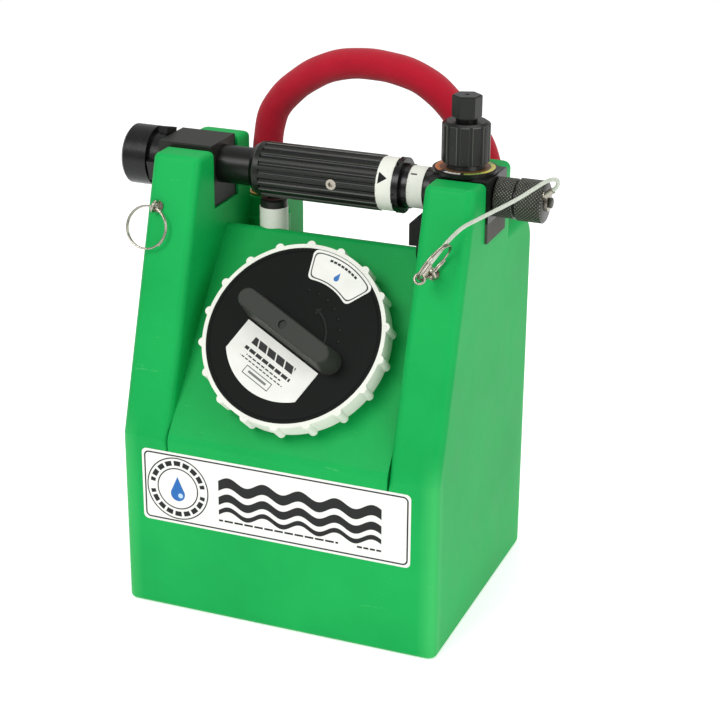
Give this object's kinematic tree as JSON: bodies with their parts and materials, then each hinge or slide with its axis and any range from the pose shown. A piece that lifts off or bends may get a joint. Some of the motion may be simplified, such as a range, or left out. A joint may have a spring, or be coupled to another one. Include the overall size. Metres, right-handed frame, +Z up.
{
  "type": "portable eyewash and decontamination rinse pack",
  "caption": "Portable rinse pack: green moulded tank with a screw filler cap, a mixing valve as the carrying handle, and a stowed red rinse hose.",
  "frame": {"origin": "centre of the tank's flat base", "axes": "+X along the handle towards the outlet, -Y is the front with the filler cap, +Z up"},
  "size_m": [0.345, 0.2239, 0.4124],
  "materials": {
    "tank_green": "moulded green polyethylene, satin",
    "white_plastic": "off-white moulded plastic",
    "black_anodised": "black hard-anodised, satin",
    "black_plastic": "black moulded plastic",
    "grey_pad": "dark grey moulded block",
    "label": "printed vinyl label",
    "dial_print": "colour-banded dial",
    "steel": "bright stainless steel",
    "rubber": "black rubber",
    "brass": "turned brass",
    "hose_jacket": "woven red jacket",
    "clear_vinyl": "clear vinyl over steel cable"
  },
  "bodies": {
    "tank": {"tank_shell": "tank_green", "front_label": "label", "fill_neck": "white_plastic", "block_screws": "steel", "inlet_block": "grey_pad", "saddle_block": "grey_pad", "valve_body": "black_anodised", "handle_tube": "black_anodised", "inlet_tailpiece": "black_anodised", "inlet_gasket": "rubber", "inlet_strainer": "steel", "detent_flange": "black_plastic", "scale_ring": "white_plastic", "venturi_nozzle": "brass", "outlet_nipple": "black_anodised", "outlet_collar": "black_anodised", "dial_plate": "dial_print", "stem_gland": "brass", "pickup_tube": "white_plastic", "foot_strainer": "black_plastic", "vent_neck": "white_plastic", "vent_valve": "black_plastic", "ring_anchors": "steel", "right_ring": "steel", "lanyard": "clear_vinyl", "lanyard_clasp": "steel"},
    "cap_seal": {"cap_gasket": "rubber"},
    "fill_cap": {"cap_ring": "white_plastic", "cap_disc": "black_plastic", "cap_handle": "black_plastic", "cap_handle_screws": "steel", "cap_labels": "label"},
    "inlet_swivel": {"inlet_coupling": "black_anodised"},
    "grip": {"grip_sleeve": "black_anodised", "grip_screw": "steel", "valve_spool": "brass", "arrow_ring": "white_plastic"},
    "metering": {"metering_knob": "black_anodised", "knob_hex": "black_anodised", "metering_stem": "steel", "metering_plate": "brass"},
    "outlet_carrier": {"lanyard_swivel": "steel", "lanyard_end": "clear_vinyl"},
    "outlet_cap": {"outlet_cap": "black_anodised", "outlet_cap_gasket": "rubber"},
    "left_strap_ring": {"left_ring": "steel"},
    "stowed_hose": {"rinse_hose": "hose_jacket", "hose_ferrules": "brass", "spray_nozzle": "black_plastic", "hose_coupling": "brass"},
    "pickup_ball": {"check_ball": "steel"}
  },
  "joints": [
    {"name": "fill_cap_lift", "type": "slide", "parent": "tank", "child": "cap_seal", "axis": [0, -0.7809, 0.6247], "range_m": [0, 0.06]},
    {"name": "fill_cap_turn", "type": "hinge", "parent": "cap_seal", "child": "fill_cap", "pos_m": [0, -0.05153, 0.21159], "axis": [0, -0.7809, 0.6247], "continuous": true},
    {"name": "inlet_coupling_turn", "type": "hinge", "parent": "tank", "child": "inlet_swivel", "pos_m": [-0.15, 0.0045, 0.327], "axis": [1, 0, 0], "continuous": true},
    {"name": "grip_twist", "type": "hinge", "parent": "tank", "child": "grip", "pos_m": [0, 0.0045, 0.327], "axis": [-1, 0, 0], "range_deg": [0, 90]},
    {"name": "metering_turn", "type": "hinge", "parent": "tank", "child": "metering", "pos_m": [0.104, 0.0045, 0.36], "axis": [0, 0, 1], "range_deg": [0, 270]},
    {"name": "outlet_cap_pull", "type": "slide", "parent": "tank", "child": "outlet_carrier", "axis": [1, 0, 0], "range_m": [0, 0.018]},
    {"name": "outlet_cap_turn", "type": "hinge", "parent": "outlet_carrier", "child": "outlet_cap", "pos_m": [0.15, 0.0045, 0.327], "axis": [1, 0, 0], "continuous": true},
    {"name": "left_ring_swing", "type": "hinge", "parent": "tank", "child": "left_strap_ring", "pos_m": [-0.11729, -0.05843, 0.30677], "axis": [-0.9563, 0.0896, 0.2783], "range_deg": [-4, 100]},
    {"name": "hose_lift", "type": "slide", "parent": "tank", "child": "stowed_hose", "axis": [0, 0, 1], "range_m": [0, 0.07]},
    {"name": "check_ball_lift", "type": "slide", "parent": "tank", "child": "pickup_ball", "axis": [0, 0, 1], "range_m": [0, 0.0015]}
  ]
}
